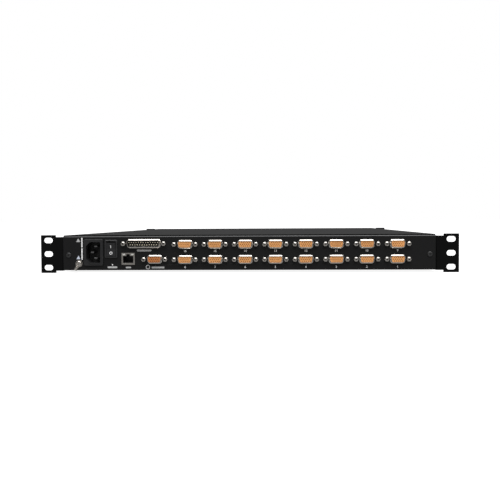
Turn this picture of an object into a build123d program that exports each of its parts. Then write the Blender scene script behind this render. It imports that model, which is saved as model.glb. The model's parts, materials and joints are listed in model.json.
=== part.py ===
from build123d import *
import math
import os

# Rack-mount keyboard, screen and mouse switch: a one-unit housing with sixteen computer ports on its
# rear panel, and a drawer that carries a keyboard and a folding screen.
#
# Frame: millimetres, +Z up, front towards -Y, +X to the right of someone facing the front. The origin is
# the centre of the front ears' outer slots, on the face that meets the rack posts. The drawer is
# modelled pulled out, with its lid shut.

# ---- rack standard: 19 inches wide, one unit high ----
RACK_WIDTH = 482.6
SLOT_SPAN = 465.1
SLOT_PITCH = 15.875
SLOT_LENGTH = 10.5
SLOT_WIDTH = 6.4
EAR_HEIGHT = 44.2
EAR_INNER = 224.0  # where the full-height part of an ear begins
EAR_THICK = 2.0

# ---- housing ----
SHEET = 1.2
BOTTOM = -19.0
TOP = 21.7
DEPTH = 670.0
COVER_HALF = 215.0
PAN_HALF = COVER_HALF - SHEET
WALL_INNER = PAN_HALF - SHEET
COVER_UNDER = TOP - SHEET
COVER_SETBACK = 2.6  # of the cover's rear edge from the face of the rear panel
LIP_LOW = 17.6  # lower edge of the cover's side folds
FRONT_FOLD_LOW = 17.6  # lower edge of the cover's front fold
FLOOR_TOP = BOTTOM + SHEET
PANEL_INNER = DEPTH - SHEET
DIVIDER_Y = 432.0
COVER_SCREW_X = (-190.0, 0.0, 190.0)
COVER_SCREW_Y = (DIVIDER_Y + 7.0, DEPTH - 9.0)
EAR_SCREW_Y = (18.0, 46.0)

# ---- rear brackets ----
ARM_X = COVER_HALF + 0.2
ARM_FRONT = DEPTH - 200
NECK_LOW, NECK_HIGH = -19.5, 19.8
BRACKET_TRAVEL = 60.0
BRACKET_SCREW_Y = (DEPTH - 115, DEPTH - 35)

# ---- rear panel layout ----
PORT_FIRST_X = 72.2
PORT_PITCH = 34.88
PORT_COLUMNS = 8
ROW_HIGH, ROW_LOW = 10.7, -6.9
SMALL_D = (16.9, 7.9)  # mouth of a fifteen-way shell
WIDE_D = (39.2, 8.2)  # mouth of the twenty-five-way shell
SCREW_SPAN = 24.99
WIDE_SCREW_SPAN = 47.04
SHELL_FRONT = DEPTH + 4.8
FOOT_FLARE, FOOT_RISE = 0.95, 0.5  # the sloped foot of a shell
JACKSCREW_FRONT = DEPTH + 5.0
CONNECTOR_REAR = DEPTH - 16.0
DAISY_X, DAISY_Z = 120.3, 11.8
CONSOLE_X, CONSOLE_Z = 107.6, -6.5
JACK_X, JACK_Z = 138.5, -5.8
JACK_SHIELD = (15.6, 13.9)
JACK_BODY = (14.8, 13.1)
JACK_LAMP_X, JACK_LAMP_Z = 4.9, 5.1
INLET_X, INLET_Z = 179.1, 1.8
ROCKER_X, ROCKER_Z = 158.4, 5.9
ROCKER_TILT = 8.0
GROUND_X, GROUND_Z = 196.4, -11.2
PANEL_SCREW_X, PANEL_SCREW_Z = 208.5, -1.3

PORT_PLACES = [(PORT_FIRST_X - PORT_PITCH * i, z) for z in (ROW_HIGH, ROW_LOW) for i in range(PORT_COLUMNS)]
SMALL_PLACES = PORT_PLACES + [(CONSOLE_X, CONSOLE_Z)]
JACKSCREW_PLACES = [(x + s * SCREW_SPAN / 2, z) for x, z in SMALL_PLACES for s in (-1, 1)]
JACKSCREW_PLACES += [(DAISY_X + s * WIDE_SCREW_SPAN / 2, DAISY_Z) for s in (-1, 1)]

# ---- electronics ----
BOARD_TOP = -13.6
BOARD_THICK = 1.6
MAIN_BOARD = (-197.0, 150.0, DEPTH - 116, DEPTH - 3)
SUPPLY_BOARD = (156.0, 207.0, DEPTH - 160, DEPTH - 40)

# ---- rails and drawer, in the pulled-out position ----
TRAVEL = 400.0
RAIL_LENGTH = 400.0
RAIL_START = 5.0
RAIL_THICK = 1.3
TRAY_HALF = 200.6
TRAY_FRONT, TRAY_REAR = -401.0, 24.0
TRAY_BOTTOM, TRAY_WALL_TOP = -15.8, 11.0
TRAY_FLOOR = TRAY_BOTTOM + SHEET
BEZEL_FRONT = -411.0
BEZEL_HALF = 213.2
BEZEL_LOW, BEZEL_HIGH = -18.6, 16.4
BEZEL_WALL = 2.2
HANDLE_HALF = 60.0
HANDLE_REACH = 18.0
HANDLE_RADIUS = 4.0
LATCH_TRAVEL = 2.0

# ---- keyboard and control deck ----
DECK_HALF = 198.9
DECK_TOP = -3.5
DECK_FRONT, DECK_REAR = -399.3, -180.0
KEY_UNIT = 19.0
KEY_GAP = 0.9
KEY_LOW, KEY_SHOULDER, KEY_TOP = -9.0, -4.6, 1.0
WELL_FLOOR = -13.0
KEYS_LEFT, PAD_LEFT = -180.5, 109.0
FUNCTION_REAR, FUNCTION_DEPTH = -186.0, 14.0
ROWS_REAR = -204.0
TYPING_ROWS = (
    [1] * 13 + [2],
    [1.5] + [1] * 12 + [1.5],
    [1.75] + [1] * 11 + [2.25],
    [2.25] + [1] * 10 + [1.75, 1],
)
SPACE_ROW = [1.25] * 3 + [5.25] + [1] * 6
TOUCH_WIDTH, TOUCH_REAR, TOUCH_FRONT = 75.0, -310.0, -358.0
TOUCH_BUTTON_FRONT = -372.0
CONTROL_TOP = -6.0
CONTROL_FRONT, CONTROL_REAR = -179.5, -40.0
PORT_BUTTON_Y = -160.0

# ---- lid ----
HINGE_Y, HINGE_Z = -22.0, 7.5
HINGE_X = 150.0
HINGE_PIN = 2.5
LID_HALF = 198.0
LID_FRONT, LID_REAR = -386.0, -30.0
LID_LOW, LID_SPLIT, LID_HIGH = 3.5, 8.0, 16.4
SCREEN_WIDTH, SCREEN_FRONT, SCREEN_REAR = 338.0, -354.0, -84.0
SCREEN_LOW, SCREEN_HIGH = 6.0, 13.0
LCD_BUTTON_Y = -57.0
LCD_BUTTON_X = {"menu": 120.0, "adjust": 140.0, "power": 165.0}


# ---- helpers ----
def block(x0, x1, y0, y1, z0, z1):
    """A box between two corners."""
    middle = Pos((x0 + x1) / 2, (y0 + y1) / 2, (z0 + z1) / 2)
    return middle * Box(abs(x1 - x0), abs(y1 - y0), abs(z1 - z0))


def bar(a0, a1, b0, b1):
    """A rectangle between two corners, for a sketch."""
    return Pos((a0 + a1) / 2, (b0 + b1) / 2) * Rectangle(abs(a1 - a0), abs(b1 - b0))


def along_y(sketch, y0, y1):
    """A sketch drawn with X across and Z up, pulled from y0 to y1."""
    return Pos(0, y1, 0) * extrude(Plane.XZ * sketch, y1 - y0)


def along_x(sketch, x0, x1):
    """A sketch drawn with Y across and Z up, pulled from x0 to x1."""
    return Pos(x0, 0, 0) * extrude(Plane.YZ * sketch, x1 - x0)


def rod_y(radius, x, z, y0, y1):
    return along_y(Pos(x, z) * Circle(radius), y0, y1)


def rod_x(radius, y, z, x0, x1):
    return along_x(Pos(y, z) * Circle(radius), x0, x1)


def rod_z(radius, x, y, z0, z1):
    return Pos(x, y, z0) * extrude(Circle(radius), z1 - z0)


def mirrored(solid):
    """The mirror image across the middle plane."""
    return mirror(solid, about=Plane.YZ)


def soften_rear(solid, size):
    """Rounds the rim of the rearmost face."""
    return fillet(solid.edges().group_by(Axis.Y)[-1], size)


def d_shape(width, height, radius, grow=0.0):
    """Outline of a D connector, wide side up, grown evenly outwards."""
    half, top = width / 2, height / 2
    narrow = half - height * 0.176
    corners = [(-half, top), (-narrow, -top), (narrow, -top), (half, top)]
    face = Polygon(*corners, align=None)
    face = fillet(face.vertices(), radius)
    return offset(face, grow) if grow else face


def save(name, *solids):
    """Writes one sub-part, whose solids stay separate."""
    whole = solids[0] if len(solids) == 1 else Compound(children=list(solids))
    export_step(whole, f"parts/{name}.step")


# ---- screws ----
def cross_screw(head_radius, head_height, shank_radius, length):
    """Pan-head screw with a cross recess: the head stands on Z = 0 and the shank goes down."""
    head = extrude(Circle(head_radius), head_height)
    head = fillet(head.edges().sort_by(Axis.Z)[-1], head_height * 0.6)
    cross = Rectangle(head_radius, 0.7) + Rectangle(0.7, head_radius)
    recess = Pos(0, 0, head_height - 1.0) * extrude(cross, 2)
    return head - recess + Pos(0, 0, -length) * extrude(Circle(shank_radius), length)


def flat_screw():
    """Countersunk screw whose head lies level with Z = 0."""
    head = Pos(0, 0, -SHEET / 2) * Cone(1.4, 2.7, SHEET)
    cross = Rectangle(2.8, 0.6) + Rectangle(0.6, 2.8)
    return head - Pos(0, 0, -0.8) * extrude(cross, 2) + Pos(0, 0, -3.4) * extrude(Circle(1.3), 3.4 - SHEET)


def case_screws():
    """Flat screws of the top cover, and the two raised ones that hold the rear panel."""
    screw = cross_screw(3.0, 1.4, 1.3, 2.3)
    cover = [Pos(x, y, TOP) * flat_screw() for x in COVER_SCREW_X for y in COVER_SCREW_Y]
    panel = [Pos(s * PANEL_SCREW_X, DEPTH, PANEL_SCREW_Z) * Rot(-90, 0, 0) * screw for s in (-1, 1)]
    return cover + panel


def side_screws():
    """Shouldered clamp screws of the rear brackets, and plain screws of the front ears."""
    head_seat = ARM_X + EAR_THICK + 0.1
    clamp = cross_screw(4.2, 2.0, 1.6, head_seat - WALL_INNER - 0.1)
    clamp += Pos(0, 0, PAN_HALF - head_seat) * extrude(Circle(2.2), head_seat - PAN_HALF)
    clamp += Pos(0, 0, PAN_HALF - head_seat) * extrude(Circle(4.0), ARM_X - 0.1 - PAN_HALF)
    plain = cross_screw(3.6, 1.8, 1.6, EAR_THICK + 1.0)
    right = [Pos(head_seat, y, 0) * Rot(0, 90, 0) * clamp for y in BRACKET_SCREW_Y]
    right += [Pos(PAN_HALF + EAR_THICK, y, 0) * Rot(0, 90, 0) * plain for y in EAR_SCREW_Y]
    return right + [mirrored(screw) for screw in right]


# ---- housing ----
def chassis_pan():
    """Floor and side walls of one folded sheet, with tabs for the rear panel's screws."""
    pan = block(-PAN_HALF, PAN_HALF, 0, PANEL_INNER, BOTTOM, FLOOR_TOP)
    wall = block(WALL_INNER, PAN_HALF, 0, PANEL_INNER, FLOOR_TOP, COVER_UNDER)
    wall += block(203, WALL_INNER, PANEL_INNER - SHEET, PANEL_INNER, -10, 10)
    for y in BRACKET_SCREW_Y + EAR_SCREW_Y:
        wall -= rod_x(1.65, y, 0, WALL_INNER - 1, PAN_HALF + 1)
    wall -= rod_y(1.35, PANEL_SCREW_X, PANEL_SCREW_Z, PANEL_INNER - 2, PANEL_INNER + 1)
    return pan + wall + mirrored(wall)


def top_cover():
    """Flat sheet with short folds over the side walls and along the front edge."""
    rear = DEPTH - COVER_SETBACK
    sheet = block(-COVER_HALF, COVER_HALF, 1, rear, COVER_UNDER, TOP)
    lip = block(PAN_HALF, COVER_HALF, 1, rear, LIP_LOW, COVER_UNDER)
    sheet += lip
    sheet += mirrored(lip)
    sheet += block(-WALL_INNER + 0.4, WALL_INNER - 0.4, 1, 1 + SHEET, FRONT_FOLD_LOW, COVER_UNDER)
    for x in COVER_SCREW_X:
        for y in COVER_SCREW_Y:
            sheet -= Pos(x, y, COVER_UNDER + SHEET / 2) * Cone(1.6, 2.9, SHEET)
    return fillet(sheet.edges().filter_by(Axis.Y).group_by(Axis.Z)[-1], 0.8)


def rear_panel():
    """The panel that carries every socket, with a fold under the cover along its top edge."""
    face = bar(-COVER_HALF, COVER_HALF, BOTTOM, COVER_UNDER)
    face -= [Pos(x, z) * d_shape(*SMALL_D, 2.3, grow=1.15) for x, z in SMALL_PLACES]
    face -= Pos(DAISY_X, DAISY_Z) * d_shape(*WIDE_D, 2.3, grow=1.15)
    face -= [Pos(x, z) * Circle(1.6) for x, z in JACKSCREW_PLACES]
    face -= Pos(JACK_X, JACK_Z) * Rectangle(JACK_SHIELD[0] + 0.4, JACK_SHIELD[1] + 0.4)
    face -= Pos(INLET_X, INLET_Z) * Rectangle(20.2, 27.4)
    face -= Pos(ROCKER_X, ROCKER_Z) * Rectangle(13.2, 19.4)
    face -= Pos(GROUND_X, GROUND_Z) * Circle(1.7)
    face -= [Pos(s * PANEL_SCREW_X, PANEL_SCREW_Z) * Circle(1.7) for s in (-1, 1)]
    fold = block(-211.6, 211.6, DEPTH - 14, PANEL_INNER, COVER_UNDER - SHEET, COVER_UNDER)
    for x in COVER_SCREW_X:
        fold -= rod_z(1.35, x, COVER_SCREW_Y[1], COVER_UNDER - 3, COVER_UNDER + 1)
    plate = along_y(face, PANEL_INNER, DEPTH) + fold
    top_edge = plate.edges().filter_by(Axis.X).group_by(Axis.Z)[-1].sort_by(Axis.Y)[-1]
    return fillet(top_edge, 1.1)


def divider_wall():
    """Wall between the drawer bay and the electronics, with a window for the drawer's cables."""
    wall = block(-212.4, 212.4, DIVIDER_Y, DIVIDER_Y + SHEET, FLOOR_TOP, COVER_UNDER)
    wall -= block(-40, 40, DIVIDER_Y - 1, DIVIDER_Y + 3, -6, 8)
    fold = block(-200, 200, DIVIDER_Y + SHEET, DIVIDER_Y + 14, COVER_UNDER - SHEET, COVER_UNDER)
    for x in COVER_SCREW_X:
        fold -= rod_z(1.35, x, COVER_SCREW_Y[0], COVER_UNDER - 3, COVER_UNDER + 1)
    return wall + fold


# ---- rack ears ----
def ear_face(inner, low, high):
    """Right-hand ear: a lower neck beside the housing, then the full-height slotted plate."""
    outer = RACK_WIDTH / 2
    plate = Pos((EAR_INNER + outer) / 2, 0) * RectangleRounded(outer - EAR_INNER, EAR_HEIGHT, 0.8)
    face = bar(inner, EAR_INNER + 2, low, high) + plate
    for row in (-1, 0, 1):
        face -= Pos(SLOT_SPAN / 2, row * SLOT_PITCH) * SlotOverall(SLOT_LENGTH, SLOT_WIDTH)
    return face


def front_ear():
    """Right-hand angle that holds the housing to the front posts, with a keeper for the drawer latch."""
    ear = along_y(ear_face(PAN_HALF, BOTTOM + 1, LIP_LOW - 0.5), -EAR_THICK, 0)
    arm = block(PAN_HALF, PAN_HALF + EAR_THICK, 0, 64, BOTTOM + 1, LIP_LOW - 0.5)
    for y in EAR_SCREW_Y:
        arm -= rod_x(1.8, y, 0, PAN_HALF - 1, PAN_HALF + 4)
    keeper = block(214.2, 215.8, -10.5, -EAR_THICK, -6, 6)
    keeper -= block(213, 217, -9.0, -4.0, -3.2, 3.2)
    return ear + arm + keeper


def rear_bracket():
    """Right-hand angle that slides along the housing to suit the depth of the rack."""
    plate = along_y(ear_face(ARM_X, NECK_LOW, NECK_HIGH), DEPTH - EAR_THICK, DEPTH)
    arm = block(ARM_X, ARM_X + EAR_THICK, ARM_FRONT, DEPTH - EAR_THICK, NECK_LOW, NECK_HIGH)
    for y in BRACKET_SCREW_Y:
        slot = Pos(y - BRACKET_TRAVEL / 2, 0) * SlotOverall(BRACKET_TRAVEL + 6, 5.0)
        arm -= along_x(slot, ARM_X - 1, ARM_X + EAR_THICK + 1)
    bracket = plate + arm
    upright = bracket.edges().filter_by(Axis.Z)
    bend = upright.filter_by_position(Axis.X, ARM_X - 0.01, ARM_X + 0.01).sort_by(Axis.Y)[-1]
    return fillet(bend, 1.6)


# ---- telescopic rails ----
def rail(web, mouth, low, high, lip):
    """Channel section with its web at the outer side and its mouth towards the drawer."""
    section = bar(web - RAIL_THICK, web, low, high)
    for edge, inward in ((low, 1), (high, -1)):
        section += bar(mouth, web, edge, edge + inward * RAIL_THICK)
        if lip:
            section += bar(mouth, mouth + RAIL_THICK, edge, edge + inward * (RAIL_THICK + lip))
    return section


def outer_rails():
    right = along_y(rail(WALL_INNER, 203.6, -14.0, 16.0, 1.3), RAIL_START, RAIL_START + RAIL_LENGTH)
    return [right, mirrored(right)]


def middle_rails():
    start = RAIL_START - TRAVEL / 2
    right = along_y(rail(210.7, 205.5, -12.1, 14.1, 1.4), start, start + RAIL_LENGTH)
    return [right, mirrored(right)]


def inner_rails():
    """These face the other way: the web lies against the tray's side wall."""
    start = RAIL_START - TRAVEL
    section = bar(TRAY_HALF, TRAY_HALF + RAIL_THICK, -8.8, 10.8)
    section += bar(TRAY_HALF, 208.8, -8.8, -7.5)
    section += bar(TRAY_HALF, 208.8, 9.5, 10.8)
    right = along_y(section, start, start + RAIL_LENGTH)
    return [right, mirrored(right)]


# ---- connectors ----
def d_shell(outline, screw_span):
    """Drawn steel shell centred on X = Z = 0: flange behind the panel, flared foot, straight wall."""
    flange = RectangleRounded(screw_span + 5.8, 12.5, 1.0) - d_shape(*outline, 2.1, grow=-0.5)
    flange -= [Pos(s * screw_span / 2, 0) * Circle(1.6) for s in (-1, 1)]
    foot = along_y(d_shape(*outline, 2.1, grow=FOOT_FLARE), PANEL_INNER, DEPTH + 0.1)
    angle = math.degrees(math.atan(FOOT_FLARE / FOOT_RISE))
    slope = extrude(Plane.XZ * d_shape(*outline, 2.1), FOOT_RISE, taper=-angle)
    foot += Pos(0, DEPTH + 0.1 + FOOT_RISE, 0) * slope
    wall = along_y(d_shape(*outline, 2.1), PANEL_INNER, SHELL_FRONT)
    hollow = along_y(d_shape(*outline, 2.1, grow=-0.5), PANEL_INNER - 2, SHELL_FRONT + 1)
    return along_y(flange, PANEL_INNER - 0.9, PANEL_INNER) + (foot + wall - hollow)


def small_moulding():
    """Insulator of a fifteen-way socket: three staggered rows of five holes, centred on X = Z = 0."""
    nose = along_y(d_shape(*SMALL_D, 2.1, grow=-0.6), PANEL_INNER - 0.9, SHELL_FRONT - 0.4)
    body = block(-10.8, 10.8, CONNECTOR_REAR, PANEL_INNER - 0.9, BOARD_TOP - ROW_LOW, 5.2)
    holes = []
    for row, shift in ((-1, -0.57), (0, 0.57), (1, -0.57)):
        holes += [Pos((i - 2) * 2.29 + shift, row * 1.98) * Circle(0.5) for i in range(5)]
    return nose + body - along_y(Sketch() + holes, SHELL_FRONT - 4, SHELL_FRONT)


def daisy_port():
    """Twenty-five-way plug: shell, moulding with its pin rows of thirteen and twelve, and the pins."""
    place = Pos(DAISY_X, 0, DAISY_Z)
    pins = [((i - 6) * 2.77, 1.42) for i in range(13)] + [((i - 5.5) * 2.77, -1.42) for i in range(12)]
    floor = along_y(d_shape(*WIDE_D, 2.1, grow=-0.6), PANEL_INNER - 0.9, DEPTH + 0.3)
    moulding = floor + block(-22, 22, CONNECTOR_REAR, PANEL_INNER - 0.9, -5.2, 5.2)
    moulding -= along_y(Sketch() + [Pos(x, z) * Circle(0.5) for x, z in pins], DEPTH - 10, DEPTH + 1)
    pin = rod_y(0.5, 0, 0, DEPTH - 10, SHELL_FRONT - 0.8)
    pin = fillet(pin.edges().sort_by(Axis.Y)[-1], 0.4)
    shell = d_shell(WIDE_D, WIDE_SCREW_SPAN)
    return place * shell, place * moulding, [place * Pos(x, 0, z) * pin for x, z in pins]


def jackscrews():
    """Hexagonal threaded posts with turned ends, on both sides of every D connector."""
    height = JACKSCREW_FRONT - DEPTH
    turned = Pos(0, DEPTH + height / 2, 0) * Rot(-90, 0, 0) * Cone(1.4 + height * math.sqrt(3), 1.4, height)
    post = along_y(RegularPolygon(2.75, 6), DEPTH, JACKSCREW_FRONT) & turned
    post += rod_y(1.4, 0, 0, DEPTH - 6, DEPTH)
    post -= rod_y(1.13, 0, 0, JACKSCREW_FRONT - 6, JACKSCREW_FRONT + 1)
    return [Pos(x, 0, z) * post for x, z in JACKSCREW_PLACES]


def network_jack():
    """Eight-way modular socket: folded steel shield, the moulding inside it and two lamp lenses."""
    mouth = bar(-6.0, 6.0, -4.7, 3.4) + bar(-2.0, 2.0, 3.4, 5.4)
    shield = along_y(RectangleRounded(*JACK_SHIELD, 0.5), DEPTH - 18, DEPTH + 1.2)
    shield -= along_y(Rectangle(*JACK_BODY), DEPTH - 19, DEPTH + 0.6)
    shield -= along_y(mouth, DEPTH, DEPTH + 2)
    insert = along_y(Rectangle(*JACK_BODY), DEPTH - 17.8, DEPTH + 0.6) - along_y(mouth, DEPTH - 13, DEPTH + 1)
    for s in (-1, 1):
        window = Pos(s * JACK_LAMP_X, JACK_LAMP_Z) * Rectangle(3.0, 1.8)
        shield -= along_y(window, DEPTH, DEPTH + 2)
        insert -= along_y(window, DEPTH - 4, DEPTH + 1)
    for i in range(8):
        x = (i - 3.5) * 1.27
        insert += block(x - 0.2, x + 0.2, DEPTH - 13, DEPTH - 2, -4.0, -3.4)
    place = Pos(JACK_X, 0, JACK_Z)
    lens = along_y(Rectangle(2.9, 1.7), DEPTH - 3.8, DEPTH + 1.4)
    lamps = [place * Pos(s * JACK_LAMP_X, 0, JACK_LAMP_Z) * lens for s in (-1, 1)]
    return place * shield, place * insert, lamps


def inlet_outline(grow):
    """Recess of the power inlet: a rectangle with two corners cut on the earth side."""
    half_w, half_h, cut = 8.3 + grow, 12.1 + grow, 4.6
    side = [(-half_w, half_h), (-half_w, -half_h), (half_w - cut, -half_h), (half_w, cut - half_h)]
    face = Polygon(*side, (half_w, half_h - cut), (half_w - cut, half_h), align=None)
    return fillet(face.vertices(), 1.0)


def power_inlet():
    """Three-pole appliance inlet, turned so that its earth blade is nearest the rack ear."""
    place = Pos(INLET_X, 0, INLET_Z)
    body = soften_rear(along_y(RectangleRounded(22.7, 31.1, 2.0), DEPTH, DEPTH + 2.2), 0.8)
    body += along_y(RectangleRounded(19.8, 27.0, 1.5), DEPTH - 19, DEPTH)
    body += along_y(inlet_outline(0.9), DEPTH, DEPTH + 2.8)
    body -= along_y(inlet_outline(0), DEPTH - 16, DEPTH + 4)
    blade_places = [(2.0, 0.0), (-2.0, 7.0), (-2.0, -7.0)]
    section = RectangleRounded(4.0, 2.0, 0.6)
    body -= along_y(Sketch() + [Pos(x, z) * section for x, z in blade_places], DEPTH - 20, DEPTH - 15)
    blade = along_y(section, DEPTH - 28, DEPTH - 1.5)
    blade = chamfer(blade.edges().group_by(Axis.Y)[-1], 0.3)
    return place * body, [place * Pos(x, 0, z) * blade for x, z in blade_places]


def power_switch():
    """Frame of the power switch and its rocker, which rests with the lower end pressed in."""
    frame = soften_rear(along_y(RectangleRounded(15, 21, 1.2), DEPTH, DEPTH + 1.8), 0.6)
    frame += along_y(Rectangle(12.9, 19.1), DEPTH - 14, DEPTH)
    frame -= along_y(Rectangle(10.8, 17.8), DEPTH - 12, DEPTH + 3)
    frame -= rod_x(1.1, DEPTH - 1.6, 0, -6.2, 6.2)
    profile = Polygon((-3.0, -7.0), (3.4, -8.0), (2.0, 0), (3.4, 8.0), (-3.0, 7.0), align=None)
    rocker = along_x(Pos(1.6, 0) * profile, -5.1, 5.1) + rod_x(1.0, 0, 0, -6.1, 6.1)
    place = Pos(ROCKER_X, 0, ROCKER_Z)
    return place * frame, place * Pos(0, DEPTH - 1.6, 0) * Rot(-ROCKER_TILT, 0, 0) * rocker


def grounding():
    """Earth screw and its ring lug, which points down and outwards."""
    seat = DEPTH + 0.9
    screw = Pos(GROUND_X, seat, GROUND_Z) * Rot(-90, 0, 0) * cross_screw(3.4, 2.2, 1.5, 5.0)
    tongue = Circle(4.0) + bar(-1.9, 1.9, -8.4, 0) - Circle(1.65)
    lug = along_y(tongue, DEPTH, seat)
    barrel = Pos(0, DEPTH + 1.9, -6.6) * Cylinder(1.9, 4.0)
    lug += barrel - Pos(0, DEPTH + 1.9, -8.0) * Cylinder(1.2, 3.4)
    return screw, Pos(GROUND_X, 0, GROUND_Z) * Rot(0, -33, 0) * lug


# ---- electronics ----
def circuit_board(outline):
    x0, x1, y0, y1 = outline
    return block(x0, x1, y0, y1, BOARD_TOP - BOARD_THICK, BOARD_TOP)


def board_parts():
    """Chips and a heat sink on the main board, and the large parts of the power supply."""
    middle, high = DEPTH - 64, BOARD_TOP + 12
    chip = block(0, 22, middle - 11, middle + 11, BOARD_TOP, BOARD_TOP + 2.4)
    chips = [Pos(x, 0, 0) * chip for x in (-160, -100, -40, 80)]
    sink = block(15, 45, middle - 15, middle + 15, BOARD_TOP, high)
    for i in range(6):
        sink -= block(17 + 5 * i, 19.4 + 5 * i, middle - 16, middle + 16, BOARD_TOP + 3, high + 1)
    transformer = block(166, 196, DEPTH - 116, DEPTH - 84, BOARD_TOP, BOARD_TOP + 26)
    capacitors = [rod_z(8, 181, y, BOARD_TOP, BOARD_TOP + 25) for y in (DEPTH - 140, DEPTH - 60)]
    return chips + [sink, transformer] + capacitors


def board_standoffs():
    """Posts between the floor and the two boards."""
    places = []
    for x0, x1, y0, y1 in (MAIN_BOARD, SUPPLY_BOARD):
        places += [(x, y) for x in (x0 + 6, x1 - 6) for y in (y0 + 6, y1 - 6)]
    return [rod_z(3.0, x, y, FLOOR_TOP, BOARD_TOP - BOARD_THICK) for x, y in places]


# ---- drawer ----
def drawer_tray():
    """Shallow folded tray, open at the top."""
    tray = block(-TRAY_HALF, TRAY_HALF, TRAY_FRONT, TRAY_REAR, TRAY_BOTTOM, TRAY_WALL_TOP)
    inside = TRAY_HALF - SHEET
    tray -= block(-inside, inside, TRAY_FRONT + SHEET, TRAY_REAR - SHEET, TRAY_FLOOR, TRAY_WALL_TOP + 1)
    return tray - block(-60, 60, TRAY_REAR - 2, TRAY_REAR + 1, -10, TRAY_WALL_TOP + 1)


def front_bezel():
    """Hollow front of the drawer, with slots for the two latches."""
    low, high = BEZEL_LOW, BEZEL_HIGH
    bezel = block(-BEZEL_HALF, BEZEL_HALF, BEZEL_FRONT, TRAY_FRONT, low, high)
    bezel = fillet(bezel.edges().group_by(Axis.Y)[0], 1.6)
    inside = BEZEL_HALF - BEZEL_WALL
    back = TRAY_FRONT + 1
    bezel -= block(-inside, inside, BEZEL_FRONT + BEZEL_WALL, back, low + BEZEL_WALL, high - BEZEL_WALL)
    cut = block(187.5, 198.5, BEZEL_FRONT - 1, BEZEL_FRONT + 3, -2.7, 2.7)
    cut += block(inside - 1, BEZEL_HALF + 1, -408.9, -404.1, -2.9, 2.9)
    bezel -= cut
    return bezel - mirrored(cut)


def latch():
    """Right-hand bolt with a finger pad that reaches through the bezel."""
    bolt = block(176, 213.0, -408.6, -404.4, -2.6, 2.6)
    pad = block(188, 196, -413.0, -408.6, -2.4, 2.4)
    return bolt + fillet(pad.edges().group_by(Axis.Y)[0], 0.8)


def pull_handle():
    """Round bar on two posts."""
    y = BEZEL_FRONT - HANDLE_REACH
    handle = rod_x(HANDLE_RADIUS, y, 0, -HANDLE_HALF, HANDLE_HALF)
    for s in (-1, 1):
        handle += Pos(s * HANDLE_HALF, y, 0) * Sphere(HANDLE_RADIUS)
        handle += rod_y(HANDLE_RADIUS, s * HANDLE_HALF, 0, y, BEZEL_FRONT)
    return handle


def hinge_brackets():
    """Each is two cheeks on a foot, joined by the hinge pin."""
    cheek = bar(-28.5, -15.5, TRAY_FLOOR, HINGE_Z) + Pos(HINGE_Y, HINGE_Z) * Circle(6.5)
    right = along_x(cheek, HINGE_X - 9, HINGE_X - 7) + along_x(cheek, HINGE_X + 7, HINGE_X + 9)
    right += block(HINGE_X - 7, HINGE_X + 7, -28.5, -15.5, TRAY_FLOOR, TRAY_FLOOR + 1.6)
    right += rod_x(HINGE_PIN, HINGE_Y, HINGE_Z, HINGE_X - 10, HINGE_X + 10)
    return [right, mirrored(right)]


# ---- keyboard ----
def key(width, depth, rear_y, left_x):
    """One key: a straight skirt with a tapered cap on it."""
    w, d = width - KEY_GAP, depth - KEY_GAP
    skirt = extrude(RectangleRounded(w, d, 1.0), KEY_SHOULDER - KEY_LOW)
    cap = extrude(RectangleRounded(w, d, 1.0), KEY_TOP - KEY_SHOULDER, taper=13)
    cap = Pos(0, 0, KEY_SHOULDER - KEY_LOW) * cap
    return Pos(left_x + width / 2, rear_y - depth / 2, KEY_LOW) * (skirt + cap)


def key_row(widths, left_x, rear_y, depth=KEY_UNIT, unit=KEY_UNIT):
    keys = []
    for width in widths:
        keys.append(key(width * unit, depth, rear_y, left_x))
        left_x += width * unit
    return keys


def row_rear(row):
    """Rear edge of a typing row, counted from the number row."""
    return ROWS_REAR - KEY_UNIT * row


def key_groups():
    function = key_row([1] * 16, KEYS_LEFT, FUNCTION_REAR, FUNCTION_DEPTH, 15 * KEY_UNIT / 16)
    typing = [k for row, widths in enumerate(TYPING_ROWS) for k in key_row(widths, KEYS_LEFT, row_rear(row))]
    space = key_row(SPACE_ROW, KEYS_LEFT, row_rear(4))
    pad = [k for row in range(4) for k in key_row([1] * 4, PAD_LEFT, row_rear(row))]
    pad += key_row([2, 1, 1], PAD_LEFT, row_rear(4))
    return {"function_keys": function, "typing_keys": typing, "space_row_keys": space, "numpad_keys": pad}


def keyboard_frame():
    """Keyboard surround and palm rest, with wells for the keys, the touchpad and its two buttons."""
    frame = block(-DECK_HALF, DECK_HALF, DECK_FRONT, DECK_REAR, TRAY_FLOOR, DECK_TOP)
    top = DECK_TOP + 1
    keys_right, pad_right = KEYS_LEFT + 15 * KEY_UNIT, PAD_LEFT + 4 * KEY_UNIT
    function_front, rows_front = FUNCTION_REAR - FUNCTION_DEPTH, row_rear(5)
    for left, right, front, rear in (
        (KEYS_LEFT, keys_right, function_front, FUNCTION_REAR),
        (KEYS_LEFT, keys_right, rows_front, ROWS_REAR),
        (PAD_LEFT, pad_right, rows_front, ROWS_REAR),
    ):
        frame -= block(left - 1, right + 1, front - 1, rear + 1, WELL_FLOOR, top)
    half = TOUCH_WIDTH / 2 + 0.4
    frame -= block(-half, half, TOUCH_FRONT - 0.4, TOUCH_REAR + 0.4, DECK_TOP - 1.4, top)
    frame -= block(-half, half, TOUCH_BUTTON_FRONT - 0.4, TOUCH_FRONT - 1.6, WELL_FLOOR, top)
    return frame


def touchpad():
    pad = block(-TOUCH_WIDTH / 2, TOUCH_WIDTH / 2, TOUCH_FRONT, TOUCH_REAR, DECK_TOP - 1.4, DECK_TOP - 0.4)
    return fillet(pad.edges().filter_by(Axis.Z), 1.5)


def push_button(x0, x1, y0, y1, z0, z1, upwards=True):
    """Small rectangular button with softened working end."""
    body = block(x0, x1, y0, y1, z0, z1)
    return fillet(body.edges().group_by(Axis.Z)[-1 if upwards else 0], 0.5)


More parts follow.
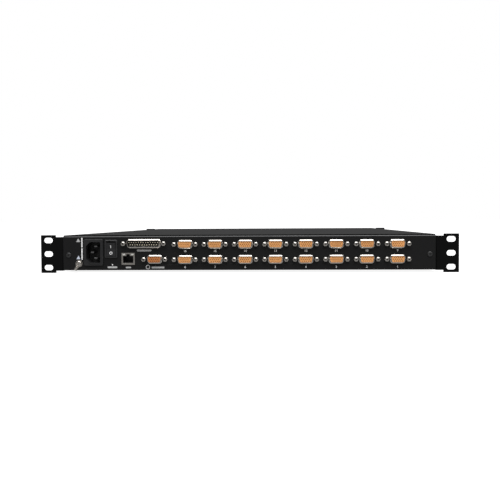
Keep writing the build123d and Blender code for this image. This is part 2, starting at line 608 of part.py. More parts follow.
def control_deck():
    """Panel behind the keyboard, with holes for the port buttons and lamps."""
    deck = block(-DECK_HALF, DECK_HALF, CONTROL_FRONT, CONTROL_REAR, TRAY_FLOOR, CONTROL_TOP)
    deck -= block(-18.4, -1.6, PORT_BUTTON_Y - 6.4, PORT_BUTTON_Y + 6.4, -12.0, CONTROL_TOP + 1)
    deck -= block(1.6, 18.4, PORT_BUTTON_Y - 6.4, PORT_BUTTON_Y + 6.4, -12.0, CONTROL_TOP + 1)
    for x in lamp_places():
        deck -= rod_z(1.6, x, PORT_BUTTON_Y, CONTROL_TOP - 2, CONTROL_TOP + 1)
    return deck


def lamp_places():
    """One lamp for each of the sixteen ports, in two groups of eight."""
    return [s * (34 + 12 * i) for s in (-1, 1) for i in range(8)]


def port_lamps():
    lamp = fillet(rod_z(1.5, 0, 0, CONTROL_TOP - 2, CONTROL_TOP + 0.8).edges().sort_by(Axis.Z)[-1], 0.7)
    return [Pos(x, PORT_BUTTON_Y, 0) * lamp for x in lamp_places()]


# ---- lid ----
def lid_block(inset, y_inset, z0, z1):
    return block(inset - LID_HALF, LID_HALF - inset, LID_FRONT + y_inset, LID_REAR - y_inset, z0, z1)


def lcd_back_cover():
    """Outer shell of the lid."""
    cover = lid_block(0, 0, LID_SPLIT, LID_HIGH)
    cover = fillet(cover.edges().filter_by(Axis.Z), 4.0)
    cover = fillet(cover.edges().group_by(Axis.Z)[-1], 1.5)
    return cover - lid_block(2, 2, LID_SPLIT - 1, LID_HIGH - 2)


def lcd_front_frame():
    """Inner side of the lid: a frame around the screen with a strip for the buttons."""
    frame = fillet(lid_block(0, 0, LID_LOW, LID_SPLIT).edges().filter_by(Axis.Z), 4.0)
    half = SCREEN_WIDTH / 2
    frame -= block(-half, half, SCREEN_FRONT, SCREEN_REAR, LID_LOW - 1, LID_SPLIT + 1)
    frame -= block(-half - 2, half + 2, SCREEN_FRONT - 2, SCREEN_REAR + 2, SCREEN_LOW, LID_SPLIT + 1)
    for x in LCD_BUTTON_X.values():
        frame -= block(x - 5.3, x + 5.3, LCD_BUTTON_Y - 3.3, LCD_BUTTON_Y + 3.3, LID_LOW - 1, LID_SPLIT + 1)
    return frame


def lcd_screen():
    half = SCREEN_WIDTH / 2 + 1.5
    return block(-half, half, SCREEN_FRONT - 1.5, SCREEN_REAR + 1.5, SCREEN_LOW, SCREEN_HIGH)


def hinge_knuckles():
    """Blocks on the lid's rear edge that turn on the hinge pins."""
    profile = Pos(HINGE_Y, HINGE_Z) * Circle(5.0) + bar(LID_REAR, HINGE_Y, 3.8, 12.4)
    profile -= Pos(HINGE_Y, HINGE_Z) * Circle(HINGE_PIN + 0.15)
    right = along_x(profile, HINGE_X - 6.6, HINGE_X + 6.6)
    return [right, mirrored(right)]


# ---- write every sub-part ----
def write_housing():
    save("chassis_pan", chassis_pan())
    save("top_cover", top_cover())
    save("rear_panel", rear_panel())
    save("divider_wall", divider_wall())
    for name, part in (("front_ear", front_ear()), ("rear_bracket", rear_bracket())):
        save(f"{name}_right", part)
        save(f"{name}_left", mirrored(part))
    save("case_screws", *case_screws())
    save("side_screws", *side_screws())
    save("main_board", circuit_board(MAIN_BOARD))
    save("supply_board", circuit_board(SUPPLY_BOARD))
    save("board_parts", *board_parts())
    save("board_standoffs", *board_standoffs())


def write_connectors():
    shell, moulding = d_shell(SMALL_D, SCREW_SPAN), small_moulding()
    save("kvm_port_shells", *[Pos(x, 0, z) * shell for x, z in PORT_PLACES])
    save("kvm_port_mouldings", *[Pos(x, 0, z) * moulding for x, z in PORT_PLACES])
    save("console_port_shell", Pos(CONSOLE_X, 0, CONSOLE_Z) * shell)
    save("console_port_moulding", Pos(CONSOLE_X, 0, CONSOLE_Z) * moulding)
    save("jackscrews", *jackscrews())
    daisy_shell, daisy_moulding, daisy_pins = daisy_port()
    save("daisy_port_shell", daisy_shell)
    save("daisy_port_moulding", daisy_moulding)
    save("daisy_port_pins", *daisy_pins)
    shield, insert, lamps = network_jack()
    save("network_jack_shield", shield)
    save("network_jack_insert", insert)
    save("network_jack_lamps", *lamps)
    inlet, blades = power_inlet()
    save("inlet_body", inlet)
    save("inlet_blades", *blades)
    frame, rocker = power_switch()
    save("rocker_frame", frame)
    save("rocker_button", rocker)
    screw, lug = grounding()
    save("ground_screw", screw)
    save("ground_lug", lug)


def write_drawer():
    save("outer_rails", *outer_rails())
    save("middle_rails", *middle_rails())
    save("inner_rails", *inner_rails())
    save("drawer_tray", drawer_tray())
    save("front_bezel", front_bezel())
    save("pull_handle", pull_handle())
    save("latch_right", latch())
    save("latch_left", mirrored(latch()))
    save("hinge_brackets", *hinge_brackets())
    save("keyboard_frame", keyboard_frame())
    save("touchpad", touchpad())
    for name, keys in key_groups().items():
        save(name, *keys)
    front, rear = TOUCH_BUTTON_FRONT, TOUCH_FRONT - 2
    save("touchpad_left_button", push_button(-TOUCH_WIDTH / 2, -0.3, front, rear, -10.5, DECK_TOP + 0.4))
    save("touchpad_right_button", push_button(0.3, TOUCH_WIDTH / 2, front, rear, -10.5, DECK_TOP + 0.4))
    save("control_deck", control_deck())
    save("port_lamps", *port_lamps())
    low, high = PORT_BUTTON_Y - 6, PORT_BUTTON_Y + 6
    save("port_down_button", push_button(-18, -2, low, high, -10.5, CONTROL_TOP + 1.6))
    save("port_up_button", push_button(2, 18, low, high, -10.5, CONTROL_TOP + 1.6))


def write_lid():
    save("lcd_back_cover", lcd_back_cover())
    save("lcd_front_frame", lcd_front_frame())
    save("lcd_screen", lcd_screen())
    save("hinge_knuckles", *hinge_knuckles())
    low, high = LCD_BUTTON_Y - 3, LCD_BUTTON_Y + 3
    for name, x in LCD_BUTTON_X.items():
        save(f"lcd_{name}_button", push_button(x - 5, x + 5, low, high, LID_LOW - 0.7, 7.5, upwards=False))


os.makedirs("parts", exist_ok=True)
write_housing()
write_connectors()
write_drawer()
write_lid()
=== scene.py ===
import json
import math

import bpy
from mathutils import Matrix, Vector


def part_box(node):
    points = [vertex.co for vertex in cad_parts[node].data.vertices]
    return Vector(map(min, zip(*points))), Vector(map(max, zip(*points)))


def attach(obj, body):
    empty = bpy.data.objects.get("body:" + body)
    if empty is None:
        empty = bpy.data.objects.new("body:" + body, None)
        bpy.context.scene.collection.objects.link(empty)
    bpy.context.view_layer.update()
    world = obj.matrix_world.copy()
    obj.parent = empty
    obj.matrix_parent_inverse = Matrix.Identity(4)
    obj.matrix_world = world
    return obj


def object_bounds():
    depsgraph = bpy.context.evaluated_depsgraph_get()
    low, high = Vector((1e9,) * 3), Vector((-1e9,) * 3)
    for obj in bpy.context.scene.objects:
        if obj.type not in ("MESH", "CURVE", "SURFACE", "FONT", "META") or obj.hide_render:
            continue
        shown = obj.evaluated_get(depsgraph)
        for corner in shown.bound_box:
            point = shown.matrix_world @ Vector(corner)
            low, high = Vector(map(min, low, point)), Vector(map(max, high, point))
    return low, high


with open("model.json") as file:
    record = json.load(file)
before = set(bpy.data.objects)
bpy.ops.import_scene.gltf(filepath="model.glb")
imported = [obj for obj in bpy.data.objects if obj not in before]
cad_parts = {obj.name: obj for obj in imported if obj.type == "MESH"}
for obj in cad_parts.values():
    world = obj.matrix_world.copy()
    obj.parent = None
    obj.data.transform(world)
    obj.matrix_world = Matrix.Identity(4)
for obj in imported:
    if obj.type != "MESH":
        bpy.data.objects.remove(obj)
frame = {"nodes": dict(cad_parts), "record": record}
cad_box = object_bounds()
nodes = frame["nodes"]
mounts = {mount["name"]: mount for mount in frame["record"]["mounts"]}
MM = 0.001

# ---------------------------------------------------------------- camera
# The rear panel is seen from behind, from a little above and to one side of its middle.
CAMERA_PLACE = Vector((-0.0464, 1.5495, 0.0382))
CAMERA_YAW, CAMERA_PITCH, CAMERA_ROLL = math.radians(2.816), math.radians(2.225), math.radians(-0.304)
SENSOR = 36.0
FOCAL_PER_WIDTH = 1.5288


def add_camera():
    sy, cy = math.sin(CAMERA_YAW), math.cos(CAMERA_YAW)
    sp, cp = math.sin(CAMERA_PITCH), math.cos(CAMERA_PITCH)
    forward = Vector((sy * cp, -cy * cp, -sp))
    right = Vector((-cy, -sy, 0.0))
    up = right.cross(forward)
    sr, cr = math.sin(CAMERA_ROLL), math.cos(CAMERA_ROLL)
    right, up = cr * right + sr * up, cr * up - sr * right
    data = bpy.data.cameras.new("camera")
    data.sensor_width = SENSOR
    data.lens = SENSOR * FOCAL_PER_WIDTH
    data.clip_start = 0.01
    data.clip_end = 200.0
    camera = bpy.data.objects.new("camera", data)
    bpy.context.scene.collection.objects.link(camera)
    turn = Matrix((right, up, -forward)).transposed().to_4x4()
    camera.matrix_world = Matrix.Translation(CAMERA_PLACE) @ turn
    bpy.context.scene.camera = camera


# ---------------------------------------------------------------- node helpers
def new_material(name):
    """A node material with one shader. Returns the material, its node tree and the shader."""
    material = bpy.data.materials.new(name)
    material.use_nodes = True
    tree = material.node_tree
    tree.nodes.clear()
    shader = tree.nodes.new("ShaderNodeBsdfPrincipled")
    output = tree.nodes.new("ShaderNodeOutputMaterial")
    tree.links.new(shader.outputs["BSDF"], output.inputs["Surface"])
    return material, tree, shader


def place_node(tree, stretch=(1, 1, 1)):
    """Object coordinates, in metres, stretched along the axes."""
    coords = tree.nodes.new("ShaderNodeTexCoord")
    mapping = tree.nodes.new("ShaderNodeMapping")
    mapping.inputs["Scale"].default_value = stretch
    tree.links.new(coords.outputs["Object"], mapping.inputs["Vector"])
    return mapping.outputs["Vector"]


def noise(tree, where, scale, detail=3.0, rough=0.55):
    node = tree.nodes.new("ShaderNodeTexNoise")
    node.inputs["Scale"].default_value = scale
    node.inputs["Detail"].default_value = detail
    node.inputs["Roughness"].default_value = rough
    tree.links.new(where, node.inputs["Vector"])
    return node.outputs["Fac"]


def spread(tree, value, low, high, from_low=0.3, from_high=0.7):
    """Maps a signal onto a range, and clamps it there."""
    node = tree.nodes.new("ShaderNodeMapRange")
    node.inputs["From Min"].default_value = from_low
    node.inputs["From Max"].default_value = from_high
    node.inputs["To Min"].default_value = low
    node.inputs["To Max"].default_value = high
    tree.links.new(value, node.inputs["Value"])
    return node.outputs["Result"]


def tint(tree, value, at_zero, at_one):
    """A colour between two, chosen by a value from 0 to 1. Each is a plain colour or a colour signal."""
    node = tree.nodes.new("ShaderNodeMix")
    node.data_type = "RGBA"
    tree.links.new(value, node.inputs["Factor"])
    for socket, color in (("A", at_zero), ("B", at_one)):
        if isinstance(color, tuple):
            node.inputs[socket].default_value = (*color, 1)
        else:
            tree.links.new(color, node.inputs[socket])
    return node.outputs["Result"]


def beyond(tree, axis, limit, blur=0.1):
    """A mask that is 1 where an object coordinate is over a limit, with a soft step in millimetres."""
    parts = tree.nodes.new("ShaderNodeSeparateXYZ")
    tree.links.new(place_node(tree), parts.inputs["Vector"])
    return spread(tree, parts.outputs[axis], 0, 1, limit - blur * MM, limit + blur * MM)


def bump(tree, shader, heights, strength, depth):
    """Joins one or more height signals into the shader's normal."""
    last = None
    for height, weight in heights:
        node = tree.nodes.new("ShaderNodeBump")
        node.inputs["Strength"].default_value = strength * weight
        node.inputs["Distance"].default_value = depth
        tree.links.new(height, node.inputs["Height"])
        if last is not None:
            tree.links.new(last, node.inputs["Normal"])
        last = node.outputs["Normal"]
    tree.links.new(last, shader.inputs["Normal"])


def shade(color, factor):
    return tuple(min(1.0, c * factor) for c in color)


# ---------------------------------------------------------------- materials
BLACK_COAT = (0.0048, 0.0048, 0.0051)
# Colour of the painted highlight along the rear panel's top bend.
PAINTED_HIGHLIGHT_COAT = (0.10, 0.10, 0.102)
BLACK_MOULDING = (0.012, 0.012, 0.013)
# How far behind a port's face the painted shade in its holes begins.
PAINTED_SHADE_DEPTH = 0.3 * MM
PORT_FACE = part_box("kvm_port_mouldings")[1].y
PANEL_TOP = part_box("rear_panel")[1].z


def powder_coat(name, color, rough, specular=0.35, grain=900, coat=0.0, painted_highlight_above=None):
    """Satin powder coat: orange peel, faint clouds of colour, specks of gloss, and a painted highlight along
    a bend.
    """
    material, tree, shader = new_material(name)
    where = place_node(tree)
    cloud = noise(tree, where, 14, 4)
    peel = noise(tree, where, grain, 2, 0.5)
    speck = noise(tree, where, grain * 3.1, 2, 0.6)
    body = tint(tree, spread(tree, cloud, 0, 1), shade(color, 0.93), shade(color, 1.08))
    # Painted highlight: above the given height the coat turns much lighter, standing in for light caught on
    # the bend.
    if painted_highlight_above is not None:
        body = tint(tree, beyond(tree, "Z", painted_highlight_above, 0.25), body, PAINTED_HIGHLIGHT_COAT)
    tree.links.new(body, shader.inputs["Base Color"])
    tree.links.new(spread(tree, speck, rough - 0.04, rough + 0.05), shader.inputs["Roughness"])
    shader.inputs["Specular IOR Level"].default_value = specular
    shader.inputs["Coat Weight"].default_value = coat
    shader.inputs["Coat Roughness"].default_value = 0.25
    bump(tree, shader, [(peel, 1.0), (speck, 0.5)], 0.35, 0.00006)
    return material


def plated(name, color, rough, stretch=(1, 1, 1)):
    """Plated metal: slightly uneven polish with fine drawing marks and dull spots."""
    material, tree, shader = new_material(name)
    where = place_node(tree, stretch)
    marks = noise(tree, where, 700, 3, 0.6)
    dull = noise(tree, place_node(tree), 60, 4, 0.6)
    tree.links.new(tint(tree, spread(tree, dull, 0, 1), shade(color, 0.88), shade(color, 1.05)),
                   shader.inputs["Base Color"])
    tree.links.new(spread(tree, marks, rough - 0.05, rough + 0.07), shader.inputs["Roughness"])
    shader.inputs["Metallic"].default_value = 1.0
    bump(tree, shader, [(marks, 1.0)], 0.07, 0.00003)
    return material


def moulded(name, color, rough=0.45, specular=0.4, grain=2600, relief=0.25, face=None):
    """Injection moulding: spark-eroded grain, flow marks, and painted shade darkening the holes behind a
    face.
    """
    material, tree, shader = new_material(name)
    where = place_node(tree)
    flow = noise(tree, where, 45, 3)
    texture = noise(tree, where, grain, 2, 0.7)
    body = tint(tree, spread(tree, flow, 0, 1), shade(color, 0.86), shade(color, 1.14))
    # Painted shade: behind the face the colour falls to almost black, standing in for shade in the holes.
    if face is not None:
        body = tint(tree, beyond(tree, "Y", face - PAINTED_SHADE_DEPTH), shade(color, 0.05), body)
    tree.links.new(body, shader.inputs["Base Color"])
    tree.links.new(spread(tree, texture, rough - 0.06, rough + 0.08), shader.inputs["Roughness"])
    shader.inputs["Specular IOR Level"].default_value = specular
    bump(tree, shader, [(texture, 1.0)], relief, 0.00004)
    return material


def circuit(name):
    """Green solder mask with a web of covered tracks and tinned spots."""
    material, tree, shader = new_material(name)
    where = place_node(tree)
    cells = tree.nodes.new("ShaderNodeTexBrick")
    cells.inputs["Scale"].default_value = 260
    cells.inputs["Mortar Size"].default_value = 0.03
    cells.inputs["Color1"].default_value = (0.010, 0.085, 0.035, 1)
    cells.inputs["Color2"].default_value = (0.014, 0.105, 0.045, 1)
    cells.inputs["Mortar"].default_value = (0.035, 0.19, 0.08, 1)
    tree.links.new(where, cells.inputs["Vector"])
    pads = tree.nodes.new("ShaderNodeTexVoronoi")
    pads.inputs["Scale"].default_value = 190
    tree.links.new(where, pads.inputs["Vector"])
    spot = spread(tree, pads.outputs["Distance"], 1, 0, 0.10, 0.14)
    tree.links.new(tint(tree, spot, cells.outputs["Color"], (0.62, 0.62, 0.6)), shader.inputs["Base Color"])
    tree.links.new(spot, shader.inputs["Metallic"])
    shader.inputs["Roughness"].default_value = 0.32
    bump(tree, shader, [(cells.outputs["Fac"], 1.0)], 0.3, 0.00004)
    return material


def display(name):
    """Liquid-crystal panel behind a faintly uneven anti-glare film."""
    material, tree, shader = new_material(name)
    where = place_node(tree)
    glare = noise(tree, where, 3600, 2, 0.6)
    depth = noise(tree, where, 5, 2)
    tree.links.new(tint(tree, spread(tree, depth, 0, 1), (0.008, 0.009, 0.012), (0.014, 0.016, 0.021)),
                   shader.inputs["Base Color"])
    tree.links.new(spread(tree, glare, 0.16, 0.26), shader.inputs["Roughness"])
    shader.inputs["Coat Weight"].default_value = 0.4
    shader.inputs["Coat Roughness"].default_value = 0.08
    bump(tree, shader, [(glare, 1.0)], 0.08, 0.00002)
    return material


def printed(name, color):
    """Screen-printed ink, thin enough for the paint's grain to break it up."""
    material, tree, shader = new_material(name)
    where = place_node(tree)
    gaps = noise(tree, where, 3000, 2, 0.6)
    tree.links.new(tint(tree, spread(tree, gaps, 0.85, 1), shade(color, 0.5), color),
                   shader.inputs["Base Color"])
    shader.inputs["Roughness"].default_value = 0.6
    bump(tree, shader, [(gaps, 1.0)], 0.2, 0.00002)
    return material


paints = {
    "black_steel": powder_coat("black_powder_coat", BLACK_COAT, rough=0.5),
    "zinc_steel": plated("zinc_plate", (0.62, 0.63, 0.64), rough=0.34, stretch=(1, 0.05, 1)),
    "nickel_steel": plated("satin_nickel", (0.56, 0.53, 0.49), rough=0.22),
    "black_screws": powder_coat("black_zinc", (0.02, 0.02, 0.021), rough=0.35, specular=0.5, grain=1800),
    "black_plastic": moulded("black_moulding", BLACK_MOULDING),
    "grey_plastic": moulded("dark_grey_moulding", (0.075, 0.077, 0.083)),
    "key_plastic": moulded("key_cap_moulding", (0.017, 0.017, 0.019), rough=0.38, specular=0.45, grain=1900),
    # The port mouldings get painted shade in their holes, from PORT_FACE back.
    "orange_plastic": moulded("orange_moulding", (0.68, 0.31, 0.105), rough=0.42, face=PORT_FACE),
    "copper_plastic": moulded("deep_orange_moulding", (0.47, 0.165, 0.048), rough=0.4, face=PORT_FACE),
    "gold_contacts": plated("gold_flash", (0.95, 0.82, 0.56), rough=0.42),
    "circuit_board": circuit("solder_mask"),
    "dark_components": moulded("moulded_package", (0.02, 0.02, 0.021), rough=0.5),
    "lamp_lens": moulded("lamp_lens", (0.58, 0.58, 0.54), rough=0.25, specular=0.5, grain=1200, relief=0.1),
    "screen_glass": display("display_panel"),
}
# Nodes whose own finish differs from their slot's. Some carry painted light instead: a painted highlight on
# the rear panel's top bend, painted shade on the inlet blades, and a lighter painted gold on the daisy port
# pins.
special = {
    # The rear panel carries a painted highlight along its top bend, lighter than the coat.
    "rear_panel": powder_coat("panel_coat", shade(BLACK_COAT, 0.8), rough=0.45, specular=0.22, grain=1100,
                              coat=0.08, painted_highlight_above=PANEL_TOP - 0.9 * MM),
    "top_cover": powder_coat("cover_coat", (0.0195, 0.0195, 0.02), rough=0.5, specular=0.5),
    "rear_bracket_left": powder_coat("bracket_coat", (0.003, 0.003, 0.0031), rough=0.7, specular=0.06),
    "network_jack_shield": plated("dull_nickel", (0.42, 0.40, 0.37), rough=0.3),
    # Painted shade: the inlet blades get a much darker nickel, standing in for the shade of their deep
    # recess.
    "inlet_blades": plated("blade_nickel_painted_shade", (0.2, 0.2, 0.2), rough=0.3),
    "jackscrews": plated("screw_nickel", (0.46, 0.44, 0.41), rough=0.34),
    # Painted light: the daisy port pins get a paler, lighter gold than the other contacts, standing in for
    # light on them.
    "daisy_port_pins": plated("gold_flash_painted_light", (0.98, 0.9, 0.72), rough=0.55),
    "rocker_frame": moulded("glossy_moulding", BLACK_MOULDING, rough=0.2, specular=0.6, relief=0.12),
}
special["rear_bracket_right"] = special["rear_bracket_left"]
white_ink = printed("white_ink", (0.85, 0.85, 0.85))
grey_ink = printed("grey_ink", (0.46, 0.46, 0.46))
blue_ink = printed("bluish_ink", (0.55, 0.6, 0.7))


def paint(piece, material):
    piece.data.materials.clear()
    piece.data.materials.append(material)


def paint_frame():
    for part in frame["record"]["subparts"]:
        piece = nodes[part["node"]]
        for index in range(len(piece.material_slots)):
            own = special.get(part["node"], paints[part["material_slot"]])
            piece.material_slots[index].material = own


# ---------------------------------------------------------------- softened edges
# The width of each node's rounded edges, in millimetres.
BEVELS = {
    "chassis_pan": 0.25, "rear_panel": 0.12, "front_ear_left": 0.3, "front_ear_right": 0.3,
    "rear_bracket_left": 0.3, "rear_bracket_right": 0.3, "kvm_port_shells": 0.2, "console_port_shell": 0.2,
    "daisy_port_shell": 0.2, "jackscrews": 0.2, "network_jack_shield": 0.15, "inlet_body": 0.2,
    "rocker_frame": 0.15, "rocker_button": 0.35, "kvm_port_mouldings": 0.1, "console_port_moulding": 0.1,
    "front_bezel": 0.3, "keyboard_frame": 0.3, "control_deck": 0.25, "lcd_front_frame": 0.3,
    "drawer_tray": 0.25, "touchpad": 0.15, "ground_lug": 0.15, "ground_screw": 0.12,
    "function_keys": 0.3, "typing_keys": 0.3, "space_row_keys": 0.3, "numpad_keys": 0.3,
}


def soften(piece, width):
    """Joins the vertices that share a place, then rounds the edges a little."""
    weld = piece.modifiers.new("weld", "WELD")
    weld.merge_threshold = 1e-6
    bevel = piece.modifiers.new("bevel", "BEVEL")
    bevel.width = width * MM
    bevel.segments = 2
    bevel.limit_method = "ANGLE"
    bevel.angle_limit = math.radians(35)
    bevel.harden_normals = False


def soften_frame():
    for name, width in BEVELS.items():
        soften(nodes[name], width)


# ---------------------------------------------------------------- marks on the rear panel
PANEL_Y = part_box("rear_panel")[1].y
INK = 0.03 * MM  # how far an ink stands off its surface
COVER_SHEET = 1.2  # thickness in millimetres
NUMERAL_HEIGHT = 2.5 * MM
ROCKER_MARK_HEIGHT = 3.2 * MM
BEHIND = 2.0  # a distance in metres, well behind the object


def link(name, mesh, material, body="housing"):
    """Adds a piece that rides on a body, with its material."""
    piece = bpy.data.objects.new(name, mesh)
    bpy.context.scene.collection.objects.link(piece)
    paint(piece, material)
    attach(piece, body)


def plate_mesh(name, outlines, y=PANEL_Y):
    """Thin prisms on a surface that faces the rear. Each outline is a list of (X, Z) in millimetres."""
    verts, faces = [], []
    for outline in outlines:
        start, count = len(verts), len(outline)
        for depth in (-INK, INK):
            verts += [(x * MM, y + depth, z * MM) for x, z in outline]
        faces.append([start + i for i in range(count)])
        faces.append([start + count + i for i in reversed(range(count))])
        for i in range(count):
            j = (i + 1) % count
            faces.append([start + j, start + i, start + count + i, start + count + j])
    mesh = bpy.data.meshes.new(name)
    mesh.from_pydata(verts, [], faces)
    mesh.update()
    return mesh


def rounded_bar(x0, x1, z0, z1, steps=4):
    """Outline of a bar with almost half-round ends, counter-clockwise as seen from -Y."""
    radius = min(x1 - x0, z1 - z0) / 2 * 0.98
    corners = ((x1 - radius, z0 + radius, -90), (x1 - radius, z1 - radius, 0),
               (x0 + radius, z1 - radius, 90), (x0 + radius, z0 + radius, 180))
    outline = []
    for x, z, start in corners:
        for i in range(steps + 1):
            angle = math.radians(start + 90 * i / steps)
            outline.append((x + radius * math.cos(angle), z + radius * math.sin(angle)))
    return outline


def ring(x, z, outer, inner, steps=28):
    """A ring as a fan of small quadrilaterals."""
    parts = []
    for i in range(steps):
        a, b = 2 * math.pi * i / steps, 2 * math.pi * (i + 1) / steps
        parts.append([(x + outer * math.cos(a), z + outer * math.sin(a)),
                      (x + outer * math.cos(b), z + outer * math.sin(b)),
                      (x + inner * math.cos(b), z + inner * math.sin(b)),
                      (x + inner * math.cos(a), z + inner * math.sin(a))])
    return parts


def text_mesh(name, entries, turn, height):
    """One mesh of several short texts. Each entry is (text, place), and turn sets which way they face."""
    combined = []
    for text, place in entries:
        curve = bpy.data.curves.new(name, "FONT")
        curve.body = text
        curve.size = height / 0.7
        curve.extrude = INK
        curve.offset = height * 0.045
        curve.align_x = "CENTER"
        curve.align_y = "CENTER"
        curve.resolution_u = 3
        carrier = bpy.data.objects.new(name, curve)
        bpy.context.scene.collection.objects.link(carrier)
        bpy.context.view_layer.update()
        mesh = bpy.data.meshes.new_from_object(carrier.evaluated_get(bpy.context.evaluated_depsgraph_get()))
        bpy.data.objects.remove(carrier)
        mesh.transform(Matrix.Translation(place) @ turn)
        combined.append(mesh)
    verts, faces = [], []
    for mesh in combined:
        start = len(verts)
        verts += [tuple(v.co) for v in mesh.vertices]
        faces += [[start + i for i in polygon.vertices] for polygon in mesh.polygons]
        bpy.data.meshes.remove(mesh)
    joined = bpy.data.meshes.new(name)
    joined.from_pydata(verts, [], faces)
    joined.update()
    return joined


FACING_REAR = Matrix(((-1, 0, 0, 0), (0, 0, 1, 0), (0, 1, 0, 0), (0, 0, 0, 1)))


def port_numerals():
    """The port numbers, each under its port. Ports 9 to 16 are the upper row."""
    entries = []
    for number in range(1, 17):
        x, _, z = mounts[f"computer_port_{number:02d}_screwlocks"]["pos_m"]
        drop = 7.7 if number > 8 else 8.8
        entries.append((str(number), Vector((x, PANEL_Y, z - drop * MM))))
    mesh = text_mesh("port_numerals", entries, FACING_REAR, NUMERAL_HEIGHT)
    link("port_numerals", mesh, white_ink)


def cover_cut_edge():
    """The cover's rear edge: a thin, near-black matt band laid over it as painted shade."""
    low, high = (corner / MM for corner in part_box("top_cover"))
    band = rounded_bar(low.x + 0.8, high.x - 0.8, high.z - COVER_SHEET, high.z - 0.05)
    mesh = plate_mesh("cover_cut_edge", [band], high.y * MM)
    # Painted shade: a near-black, matt sheet over the cover's edge, standing in for shade there.
    shade_black = moulded("painted_shade_black", (0.002, 0.002, 0.002), rough=0.9, specular=0.02)
    link("cover_cut_edge", mesh, shade_black)


def mount_place(name):
    """A mount's X and Z in millimetres."""
    x, _, z = mounts[name]["pos_m"]
    return x / MM, z / MM


def word_strips(rocker_x):
    """Blank strips where a real panel carries words, and a round icon."""
    daisy_x, daisy_z = mount_place("daisy_port_screwlocks")
    console_x, console_z = mount_place("console_port_screwlocks")
    jack_x, _ = mount_place("network_jack")
    strips = [
        rounded_bar(daisy_x - 9.2, daisy_x + 8.3, daisy_z - 9.0, daisy_z - 6.8),
        rounded_bar(jack_x - 3.3, jack_x + 3.2, -16.7, -15.0),
        rounded_bar(console_x - 11.3, console_x + 3.8, console_z - 10.5, console_z - 8.4),
        rounded_bar(rocker_x - 6.8, rocker_x + 4.7, -16.6, -14.6),
    ]
    strips += ring(console_x + 8.0, console_z - 8.9, 2.6, 1.7)
    link("panel_strips", plate_mesh("panel_strips", strips), grey_ink)


def triangle(x, z):
    """Outline of a triangle that points up, about its middle."""
    return [(x - 2.4, z - 2.0), (x + 2.4, z - 2.0), (x, z + 2.2)]


def panel_marks():
    """Marks beside and under the sockets, none of them a word."""
    rocker_x = sum(corner.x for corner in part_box("rocker_frame")) / 2 / MM
    earth_x, _ = mount_place("ground_terminal")
    lines = [rounded_bar(earth_x - 4.2, earth_x - 2.8, low, high) for low, high in ((7.5, 19.0), (-6.9, 6.7))]
    dot = rounded_bar(rocker_x - 2.0, rocker_x - 0.5, -13.4, -11.9, 6)
    word_strips(rocker_x)
    link("panel_lines", plate_mesh("panel_lines", lines), white_ink)
    link("power_dot", plate_mesh("power_dot", [dot]), white_ink)
    for name, z, ink in (("triangle_upper", 16.0, grey_ink), ("triangle_lower", -4.0, blue_ink)):
        link(name, plate_mesh(name, [triangle(earth_x + 0.8, z)]), ink)


def rear_point(node, x, z):
    """Where a line along Y first meets a node from behind, and the way the surface faces there."""
    start = Vector((x, BEHIND, z))
    _, place, normal, _ = nodes[node].ray_cast(start, Vector((0, -1, 0)))
    return place, normal


def rocker_marks():
    """I and O on the two halves of the power rocker, on its tilted faces."""
    low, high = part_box("rocker_button")
    x, z = (low.x + high.x) / 2, (low.z + high.z) / 2
    for name, mark, offset in (("rocker_mark_on", "I", 2.9), ("rocker_mark_off", "O", -4.4)):
        place, normal = rear_point("rocker_button", x, z + offset * MM)
        turn = Matrix.Rotation(math.atan2(normal.z, normal.y), 4, "X") @ FACING_REAR
        mesh = text_mesh(name, [(mark, place)], turn, ROCKER_MARK_HEIGHT)
        link(name, mesh, white_ink, "rocker")


# ---------------------------------------------------------------- floor and light
FLOOR_TONE = (0.38, 0.38, 0.38)
FLOOR_GLOW = 0.9
FLOOR_HALF = 40.0  # metres
ROOM = (0.12, 0.12, 0.12)
SUN_DIRECTION = (0.1, -0.62, -1.0)
SUN_STRENGTH = 4.0
SUN_SPREAD = 58  # degrees


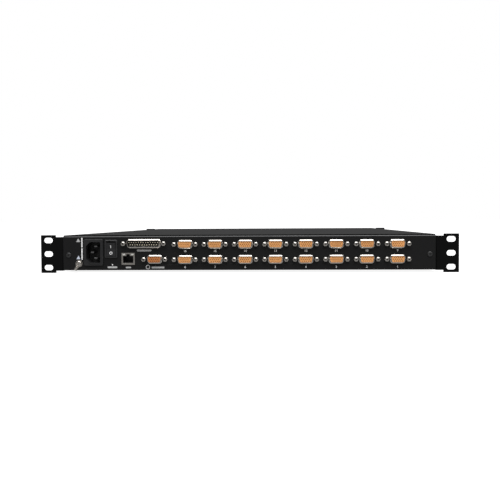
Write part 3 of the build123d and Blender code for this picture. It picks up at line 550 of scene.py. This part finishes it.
def add_floor():
    """A pale floor under the object. The camera sees it as bright as the backdrop, with a faint shadow."""
    low = cad_box[0].z
    mesh = bpy.data.meshes.new("floor")
    corners = [(x * FLOOR_HALF, y * FLOOR_HALF, low) for x, y in ((-1, -1), (1, -1), (1, 1), (-1, 1))]
    mesh.from_pydata(corners, [], [(0, 1, 2, 3)])
    floor = bpy.data.objects.new("floor", mesh)
    bpy.context.scene.collection.objects.link(floor)
    material, tree, shader = new_material("pale_floor")
    shader.inputs["Base Color"].default_value = (*FLOOR_TONE, 1)
    shader.inputs["Roughness"].default_value = 0.9
    shader.inputs["Specular IOR Level"].default_value = 0.0
    glow = tree.nodes.new("ShaderNodeEmission")
    glow.inputs["Strength"].default_value = FLOOR_GLOW
    both = tree.nodes.new("ShaderNodeAddShader")
    path = tree.nodes.new("ShaderNodeLightPath")
    seen = tree.nodes.new("ShaderNodeMixShader")
    output = next(node for node in tree.nodes if node.type == "OUTPUT_MATERIAL")
    tree.links.new(shader.outputs["BSDF"], both.inputs[0])
    tree.links.new(glow.outputs["Emission"], both.inputs[1])
    tree.links.new(path.outputs["Is Camera Ray"], seen.inputs["Fac"])
    tree.links.new(shader.outputs["BSDF"], seen.inputs[1])
    tree.links.new(both.outputs["Shader"], seen.inputs[2])
    tree.links.new(seen.outputs["Shader"], output.inputs["Surface"])
    paint(floor, material)


def add_soft_sun(name, direction, strength, spread_angle):
    """Even, soft light from far away, like a large softbox."""
    data = bpy.data.lights.new(name, "SUN")
    data.energy = strength
    data.angle = math.radians(spread_angle)
    lamp = bpy.data.objects.new(name, data)
    bpy.context.scene.collection.objects.link(lamp)
    lamp.matrix_world = Vector(direction).to_track_quat("-Z", "Y").to_matrix().to_4x4()


def add_light():
    """White backdrop for the camera, a dim room for everything else, and soft light from above."""
    world = bpy.data.worlds.new("studio")
    bpy.context.scene.world = world
    world.use_nodes = True
    tree = world.node_tree
    tree.nodes.clear()
    backdrop = tree.nodes.new("ShaderNodeBackground")
    backdrop.inputs["Color"].default_value = (1, 1, 1, 1)
    room = tree.nodes.new("ShaderNodeBackground")
    room.inputs["Color"].default_value = (*ROOM, 1)
    path = tree.nodes.new("ShaderNodeLightPath")
    mix = tree.nodes.new("ShaderNodeMixShader")
    output = tree.nodes.new("ShaderNodeOutputWorld")
    tree.links.new(path.outputs["Is Camera Ray"], mix.inputs["Fac"])
    tree.links.new(room.outputs["Background"], mix.inputs[1])
    tree.links.new(backdrop.outputs["Background"], mix.inputs[2])
    tree.links.new(mix.outputs["Shader"], output.inputs["Surface"])
    add_soft_sun("overhead_softbox", SUN_DIRECTION, SUN_STRENGTH, SUN_SPREAD)
    bpy.context.scene.view_settings.view_transform = "Standard"


add_camera()
paint_frame()
soften_frame()
port_numerals()
panel_marks()
rocker_marks()
# A near-black matt band as painted shade along the cover's rear edge.
cover_cut_edge()
add_floor()
add_light()
